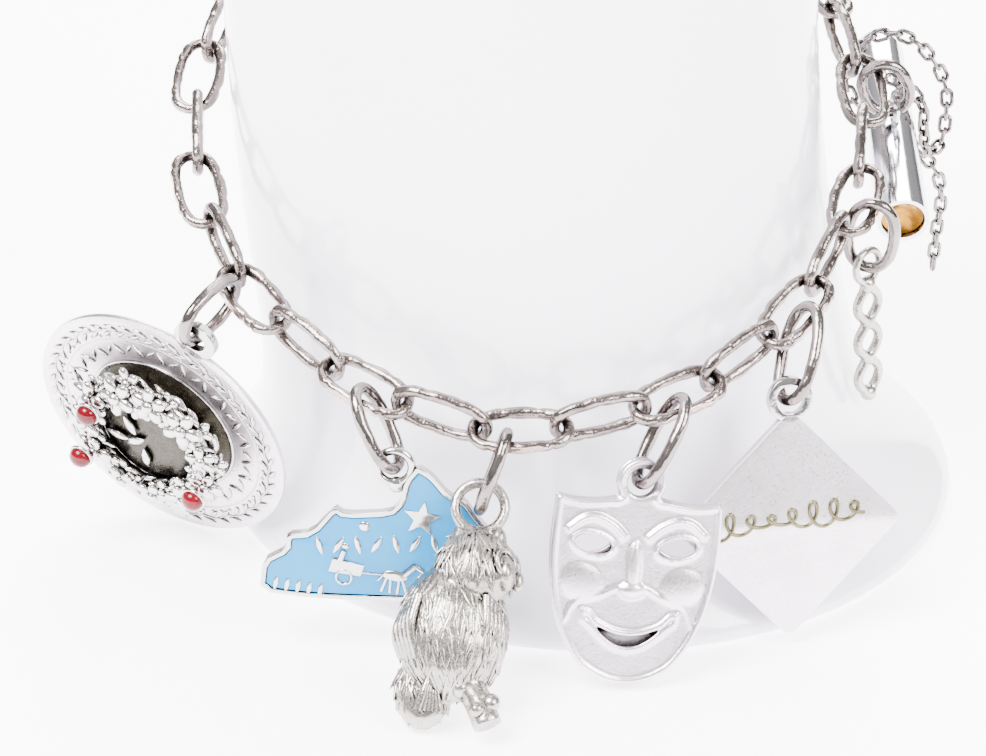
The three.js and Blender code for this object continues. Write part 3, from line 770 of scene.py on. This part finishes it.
class BRACELET_OT_state(Operator):
    """Build the enamelled plate charm"""

    bl_idname = "bracelet.state"
    bl_label = "State plate"

    def execute(self, context):
        where = face("state")
        bright = bright_silver()
        outline = eased(STATE, 1)
        base = sheet_of("Base", [outline], -0.45, 0.12, 0.1)
        wall = sheet_of("Wall", [outline, inset(outline, 0.38)], -0.1, 0.45, 0.1)
        loop = torus((0, 0, 0), 1.36, 0.34)
        stem = blob((0.4, -1.5, 0), (0.7, 0.7, 0.4))
        plate = join("State_plate", [base, wall, loop, stem])
        hand_over(settle(paint(plate, bright), where), "state_plate")

        # Vitreous enamel, sky blue, with inlaid silver figures.
        blue = glaze("Enamel, vitreous, sky blue", "#007fb5", "#0077ab", 0.25, shine=0.2, scale=220.0)
        parts = [paint(sheet_of("Enamel", [inset(outline, 0.47)], 0.2, 0.37, 0.05), blue)]
        figures = []
        star = []
        for k in range(10):
            a = math.pi / 2 + k * math.pi / 5
            r = 1.55 if k % 2 == 0 else 0.66
            star.append((2.8 + r * math.cos(a), -3.9 + r * math.sin(a)))
        figures.append(sheet_of("Star", [star], 0.32, 0.48, 0.04))
        figures.append(blob((-1.6, -5.4, 0.4), (0.42, 0.42, 0.12)))
        figures.append(sheet_of("Cart", [[(-3.9, -9.8), (-1.3, -9.8), (-1.1, -8.8), (-3.7, -8.5)]], 0.32, 0.46, 0.04))
        figures.append(torus((-2.6, -10.1, 0.4), 0.62, 0.12, around=24, across=6))
        for line, radius in FIGURE_LINES:
            (x0, y0), (x1, y1) = line
            bent = [(x0, y0, 0.36), ((x0 + x1) / 2, (y0 + y1) / 2, 0.38), (x1, y1, 0.36)]
            figures.append(rod("Figure", bent, radius, sides=1, fine=2))
        figures.append(blob((1.4, -9.3, 0.36), (1.05, 0.46, 0.16)))
        figures.append(blob((-2.85, -7.4, 0.36), (0.3, 0.3, 0.14)))
        mark = leaf(1.35, 0.42, 0.2)
        spots = []
        for k in range(7):
            spots.append(
                Matrix.Translation((-4.9 + 1.5 * k, -7.7 + 0.3 * k, 0.38))
                @ Matrix.Rotation(1.57 + 0.4 * (-1) ** k, 4, "Z") @ Matrix.Scale(1.25, 4)
            )
        for k in range(5):
            spots.append(Matrix.Translation((-7.9 + 0.9 * k, -11.6, 0.38)) @ Matrix.Rotation(1.5, 4, "Z"))
        for k in range(4):
            spots.append(Matrix.Translation((6.2 + 0.7 * k, -5.9 - 0.2 * k, 0.38)) @ Matrix.Rotation(0.9, 4, "Z"))
        figures.append(scatter("Marks", mark, spots))
        parts += [paint(figure, bright) for figure in figures]
        enamel = join("State_enamel", parts)
        hand_over(settle(enamel, where), "state_enamel")
        return {"FINISHED"}


class BRACELET_OT_owl(Operator):
    """Build the owl charm"""

    bl_idname = "bracelet.owl"
    bl_label = "Owl"

    def execute(self, context):
        where = place("owl")
        width = context.scene.bracelet.feather
        body = refined("owl", "Owl", levels=0)
        body.matrix_world = where.inverted()
        apply_place(body)
        apply_modifier(body, "REMESH", mode="VOXEL", voxel_size=0.16)
        apply_modifier(body, "SMOOTH", factor=0.6, iterations=8)
        smooth(body)
        parts = [body]
        feather = leaf(width * 2.3, width * 0.42, 0.34)
        chance = random.Random(5)
        spots = self.cover(Vector((-2, 0.2, -9.9)), Vector((4.4, 3.6, 5.6)), width, 0.62, -0.86)
        spots += self.cover(Vector((-0.3, -0.3, -5.2)), Vector((3.2, 3.0, 3.3)), width * 0.8, 0.95, -0.2)
        spots += self.cover(Vector((-4.2, 0.6, -14.4)), Vector((2.2, 1.2, 2.7)), width * 0.8, 0.5, -0.6)
        spots = [
            spot @ Matrix.Rotation(chance.uniform(-0.4, 0.4), 4, "Z") @ Matrix.Scale(chance.uniform(0.7, 1.2), 4)
            for spot in spots
        ]
        parts.append(scatter("Feathers", feather, spots))
        for centre, size in (
            ((-1.3, -1.2, -14.4), 0.8), ((1.1, -1.5, -15.6), 0.75), ((0.0, -2.1, -16.2), 0.6),
        ):
            parts.append(blob(centre, (size, size, size), segments=16, rings=10))
        head, half = Vector((-0.3, -0.3, -5.2)), Vector((3.2, 3.0, 3.3))
        for way in (Vector((0.74, -0.66, 0.12)), Vector((0.95, 0.3, 0.12))):
            way.normalize()
            spot = head + Vector([way[i] * half[i] for i in range(3)]) * 1.0
            parts.append(torus(spot, 1.0, 0.24, axis=way, around=28, across=8))
            parts.append(torus(spot, 0.55, 0.14, axis=way, around=24, across=8))
            parts.append(blob(spot, (0.34, 0.34, 0.34)))
        beak = blob((3.0, -0.9, -6.0), (0.5, 0.42, 0.85))
        parts.append(beak)
        for k in range(6):
            a = -0.55 + 0.2 * k
            start = Vector((-3.4, -1.2 + 0.5 * k * 0.3, -12.6))
            end = start + Vector((-1.2 + 0.35 * k, -0.1, -3.8)) * 0.95
            mid = start.lerp(end, 0.5) + Vector((0, -0.35, 0))
            parts.append(rod("Quill", [start, mid, end], 0.3, sides=2))
        for side in (-1, 1):
            root = Vector((-2 + side * 2.6, -2.4, -7.4))
            for k in range(5):
                start = root + Vector((side * 0.3 * k, 0.35 * k, -0.3 * k))
                end = start + Vector((-0.5 * side - 0.6, 0.6, -4.8 + 0.35 * k))
                mid = start.lerp(end, 0.5) + Vector((side * 0.5, -0.5, 0))
                parts.append(rod("Wing", [start, mid, end], 0.36, sides=2))
        owl = paint(join("Owl", parts), antique_silver())
        settle(owl, where)
        # The lowest tips stop just above the table.
        for v in owl.data.vertices:
            v.co.z = max(v.co.z, 0.15 * MM)
        hand_over(owl, "owl")
        return {"FINISHED"}

    @staticmethod
    def cover(centre, half, width, top, bottom):
        """Places for feathers in rows over an ellipsoid, each lying on it with its tip down."""
        spots = []
        rows = max(2, int((top - bottom) * half.z / (width * 0.72)))
        for row in range(rows):
            level = top + (bottom - top) * row / (rows - 1)
            ring = math.sqrt(max(0.05, 1 - level * level))
            count = max(6, int(2 * math.pi * ring * half.x / (width * 0.52)))
            for k in range(count):
                a = 2 * math.pi * (k + 0.5 * (row % 2)) / count
                point = Vector((ring * math.cos(a) * half.x, ring * math.sin(a) * half.y, level * half.z))
                normal = Vector((point.x / half.x ** 2, point.y / half.y ** 2, point.z / half.z ** 2)).normalized()
                down = (Vector((0, 0, -1)) + normal * normal.z).normalized()
                spots.append(frame_at(centre + point * 0.96, down + normal * 0.06, normal))
        return spots


class BRACELET_OT_masks(Operator):
    """Build the pair of theatre masks"""

    bl_idname = "bracelet.masks"
    bl_label = "Masks"

    def execute(self, context):
        where = face("mask")
        matte = matte_silver()
        front = self.mask("Mask_front", 0.15, 1, smiling=True)
        hand_over(settle(paint(front, matte), where), "mask_front")
        back = self.mask("Mask_back", -0.15, -1, smiling=False)
        hand_over(settle(paint(back, matte), where), "mask_back")
        return {"FINISHED"}

    @staticmethod
    def outline():
        a = math.radians(215)
        left = (1.95 * math.cos(a), 1.95 * math.sin(a))
        right = (-left[0], left[1])
        half = bezier([(6.6, -1.2), (7.0, -6.5), (6.7, -11.6), (3.6, -14.9)], 18)
        half += bezier([(3.6, -14.9), (0, -17.6), (-3.6, -14.9)], 14)
        half += bezier([(-3.6, -14.9), (-6.7, -11.6), (-7.0, -6.5), (-6.6, -1.2)], 18)
        half += bezier([(-6.6, -1.2), (-4.2, -1.9), left], 6)
        for k in range(16):
            b = math.radians(215 - 250 * k / 16)
            half.append((1.95 * math.cos(b), 1.95 * math.sin(b)))
        half += bezier([right, (4.2, -1.9), (6.6, -1.2)], 6)
        return half

    def mask(self, name, base, side, smiling):
        outline = self.outline()
        eyes = [oval((s * 3.4, -5.1), (1.55, 0.75), s * 0.2 * side) for s in (-1, 1)]
        if smiling:
            mouth = bezier([(-3.8, -10.4), (0, -16.4), (3.8, -10.4)], 14)
            mouth += bezier([(3.8, -10.4), (0, -13.8), (-3.8, -10.4)], 14)
        else:
            mouth = bezier([(-3.4, -13.0), (0, -8.2), (3.4, -13.0)], 14)
            mouth += bezier([(3.4, -13.0), (0, -10.6), (-3.4, -13.0)], 14)
        low, high = sorted((base, base + side * 0.42))
        hole = oval((0, 0), (1.15, 1.15))
        parts = [sheet_of(name, [outline, hole, *eyes, mouth], low, high, 0.1)]
        top = base + side * 0.42

        def line(points, radius):
            made = rod("Relief", [(x, y, top) for x, y in points], radius, closed=True, sides=2, fine=2)
            parts.append(made)

        line(inset(outline, 0.28), 0.2)
        for eye in eyes:
            line(inset(eye[::2], -0.16), 0.17)
        line(mouth[::2], 0.24)
        for s in (-1, 1):
            brow = [(s * 0.9, -4.4), (s * 2.2, -3.3), (s * 3.9, -2.9), (s * 5.5, -4.0)]
            parts.append(rod("Brow", [(x, y, top) for x, y in brow], 0.3, sides=2, fine=6))
            parts.append(blob((s * 4.0, -8.2, top - side * 0.12), (2.0, 1.7, 0.36), turn=s * 0.5))
            fold = [(s * 1.1, -8.4), (s * 2.6, -9.2), (s * 4.4, -9.8), (s * 5.2, -11.4)]
            parts.append(rod("Fold", [(x, y, top - side * 0.05) for x, y in fold], 0.2, sides=2, fine=6))
        parts.append(blob((0, -6.9, top - side * 0.05), (0.62, 2.4, 0.5)))
        parts.append(blob((0, -8.6, top), (1.1, 0.7, 0.48)))
        made = join(name, parts)
        apply_modifier(made, "REMESH", mode="VOXEL", voxel_size=0.12)
        apply_modifier(made, "SMOOTH", factor=0.5, iterations=5)
        return smooth(made)


class BRACELET_OT_plaque(Operator):
    """Build the square plaque charm"""

    bl_idname = "bracelet.plaque"
    bl_label = "Plaque"

    def execute(self, context):
        where = face("plaque")
        bright = bright_silver()
        reach, middle = 13.4 / math.sqrt(2), -10.27
        corners = [(0, middle + reach), (reach, middle), (0, middle - reach), (-reach, middle)]
        square = []
        for before, here, after in zip(corners[-1:] + corners[:-1], corners, corners[1:] + corners[:1]):
            a, p, b = Vector(before), Vector(here), Vector(after)
            ends = [tuple(p + (a - p).normalized() * 0.9), tuple(p), tuple(p + (b - p).normalized() * 0.9)]
            square += bezier(ends, 5) + [ends[2]]
        plate = paint(sheet_of("Plaque", [square], -0.45, 0.4, 0.12), matte_silver())
        eye = paint(sheet_of("Eye", [oval((0, 0), (1.85, 1.85)), oval((0, 0), (1.2, 1.2))], -0.4, 0.4, 0.18), bright)
        line = []
        for k in range(120):
            t = k / 119
            line.append((
                -5.9 + 12.2 * t + 0.7 * math.sin(2 * math.pi * 7 * t),
                middle + 0.1 + 0.9 * t - (0.75 + 0.35 * math.cos(9 * t)) * math.cos(2 * math.pi * 7 * t),
                0.4,
            ))
        scroll = rod("Scroll", line, 0.15, sides=2, fine=2)
        # Silver engraved lines, left dark.
        ink = silver("Silver, engraved and blackened", "#6a6447", "#2b281c", 0.3, tarnish=0.5)
        plaque = join("Plaque", [plate, eye, paint(scroll, ink)])
        hand_over(settle(plaque, where), "plaque")
        return {"FINISHED"}


class BRACELET_OT_drops(Operator):
    """Build the openwork drop and the glazed tube"""

    bl_idname = "bracelet.drops"
    bl_label = "Drops"

    def execute(self, context):
        openwork = refined("openwork_drop", "Openwork_drop", levels=1)
        hand_over(paint(openwork, antique_silver()), "openwork_drop")
        barrel = refined("tube_barrel", "Tube_barrel", levels=0, angle=35)
        # Silver tube, polished like a mirror.
        mirror = glaze("Silver, spun and mirror polished", "#cfcdd3", "#c6c4cb", 0.12, metallic=1.0)
        hand_over(paint(barrel, mirror), "tube_barrel")
        disc = refined("tube_disc", "Tube_disc", levels=0, angle=35)
        # Brass sheet, gilt and dished.
        gilt = glaze("Brass, gilt and dished", "#9a6c24", "#7c5418", 0.22, metallic=1.0, scale=900.0)
        hand_over(paint(disc, gilt), "tube_disc")
        return {"FINISHED"}


class BRACELET_OT_safety(Operator):
    """Build the fine safety chain link by link"""

    bl_idname = "bracelet.safety"
    bl_label = "Safety chain"

    def execute(self, context):
        pitch = context.scene.bracelet.safety_pitch
        guide = rod("Guide", [Vector(p) * MM for p in SAFETY_ROUTE], 0, fine=24)
        points = [v.co.copy() for v in guide.data.vertices]
        bpy.data.objects.remove(guide)
        lengths = [0.0]
        for a, b in zip(points, points[1:]):
            lengths.append(lengths[-1] + (b - a).length)
        count = int(lengths[-1] / pitch)
        model = torus((0, 0, 0), 0.46 * MM, 0.19 * MM, around=14, across=6)
        for v in model.data.vertices:
            v.co.x += 0.3 * MM * (1 if v.co.x > 0 else -1)
        spots, index, side = [], 0, Vector((0, 0, 1))
        for k in range(count):
            goal = (k + 0.5) * lengths[-1] / count
            while lengths[index + 1] < goal:
                index += 1
            a, b = points[index], points[index + 1]
            along = (b - a).normalized()
            side = (side - along * side.dot(along)).normalized()
            centre = a.lerp(b, (goal - lengths[index]) / (lengths[index + 1] - lengths[index]))
            turn = Matrix.Rotation(math.radians(45 + 90 * (k % 2)), 4, "X")
            spots.append(frame_at(centre, along, side) @ turn)
        chain = scatter("Safety_chain", paint(model, worn_silver()), spots)
        hand_over(chain, "safety_chain")
        return {"FINISHED"}


class BRACELET_OT_stage(Operator):
    """Set the white table, the soft lights and the camera"""

    bl_idname = "bracelet.stage"
    bl_label = "Stage"

    def execute(self, context):
        scene = context.scene
        bpy.ops.object.select_all(action="DESELECT")
        bpy.ops.mesh.primitive_plane_add(size=4)
        floor = context.object
        floor.name = "Floor"
        # Opal acrylic, matt and lit from below.
        paint(floor, glaze("Acrylic, opal and lit from below", "#f4f3f6", "#f1f0f4", 0.7, scale=6.0, glow=4.5))

        world = bpy.data.worlds.new("Studio")
        scene.world = world
        world.use_nodes = True
        tree = world.node_tree
        tree.nodes.clear()
        way = add(tree, "ShaderNodeTexCoord").outputs["Generated"]
        height = add(tree, "ShaderNodeSeparateXYZ", {"Vector": way}).outputs["Z"]
        tone = ramp(tree, height, [(0.0, 0.22), (0.12, 0.42), (0.35, 0.95), (0.9, 1.0)])
        patch = add(tree, "ShaderNodeTexNoise", {"Vector": way, "Scale": 2.6, "Detail": 1.0}).outputs["Fac"]
        tone = mixed(tree, 0.55, tone, ramp(tree, patch, [(0.38, 0.25), (0.6, 1.0)]), "MULTIPLY")
        back = add(tree, "ShaderNodeBackground", {"Color": tone, "Strength": 1.1})
        output = add(tree, "ShaderNodeOutputWorld")
        tree.links.new(back.outputs["Background"], output.inputs["Surface"])

        for name, at, size, power in (
            ("Key", (-0.28, -0.22, 0.55), 0.34, 20.0),
            ("Fill", (0.42, -0.30, 0.40), 0.30, 9.5),
            ("Back", (0.05, 0.45, 0.42), 0.40, 14.0),
        ):
            bpy.ops.object.light_add(type="AREA", location=at)
            light = context.object
            light.name = name
            light.data.size = size
            light.data.energy = power
            light.rotation_euler = (Vector((-0.005, -0.01, 0.02)) - Vector(at)).to_track_quat("-Z", "Y").to_euler()

        tilt, roll = math.radians(27.808), math.radians(0.978)
        ahead = Vector((0, math.cos(tilt), -math.sin(tilt)))
        right, up = Vector((1, 0, 0)), Vector((0, math.sin(tilt), math.cos(tilt)))
        turned_right = right * math.cos(roll) + up * math.sin(roll)
        turned_up = up * math.cos(roll) - right * math.sin(roll)
        target = Vector((-8.369, 0, 8.287)) * MM
        bpy.ops.object.camera_add()
        camera = context.object
        camera.matrix_world = (
            Matrix.Translation(target - ahead * 0.3) @ Matrix((turned_right, turned_up, -ahead)).transposed().to_4x4()
        )
        camera.data.sensor_width = 36
        camera.data.lens = 124.87
        camera.data.clip_start = 0.005
        scene.camera = camera
        return {"FINISHED"}


class BRACELET_PT_panel(Panel):
    bl_idname = "BRACELET_PT_panel"
    bl_label = "Charm bracelet"
    bl_space_type = "VIEW_3D"
    bl_region_type = "UI"
    bl_category = "Bracelet"

    def draw(self, context):
        settings = context.scene.bracelet
        for name in ("hammer_depth", "border_leaves", "wreath_leaves", "wreath_flowers", "feather", "safety_pitch"):
            self.layout.prop(settings, name)
        for operator in OPERATORS:
            self.layout.operator(operator.bl_idname)


OPERATORS = (
    BRACELET_OT_stand,
    BRACELET_OT_links,
    BRACELET_OT_hat,
    BRACELET_OT_state,
    BRACELET_OT_owl,
    BRACELET_OT_masks,
    BRACELET_OT_plaque,
    BRACELET_OT_drops,
    BRACELET_OT_safety,
    BRACELET_OT_stage,
)


def register():
    for made in (BRACELET_PG_settings, *OPERATORS, BRACELET_PT_panel):
        bpy.utils.register_class(made)
    bpy.types.Scene.bracelet = PointerProperty(type=BRACELET_PG_settings)


def unregister():
    del bpy.types.Scene.bracelet
    for made in reversed((BRACELET_PG_settings, *OPERATORS, BRACELET_PT_panel)):
        bpy.utils.unregister_class(made)


def main():
    register()
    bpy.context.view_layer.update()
    for operator in OPERATORS:
        group, name = operator.bl_idname.split(".")
        getattr(getattr(bpy.ops, group), name)()


if __name__ == "__main__":
    main()
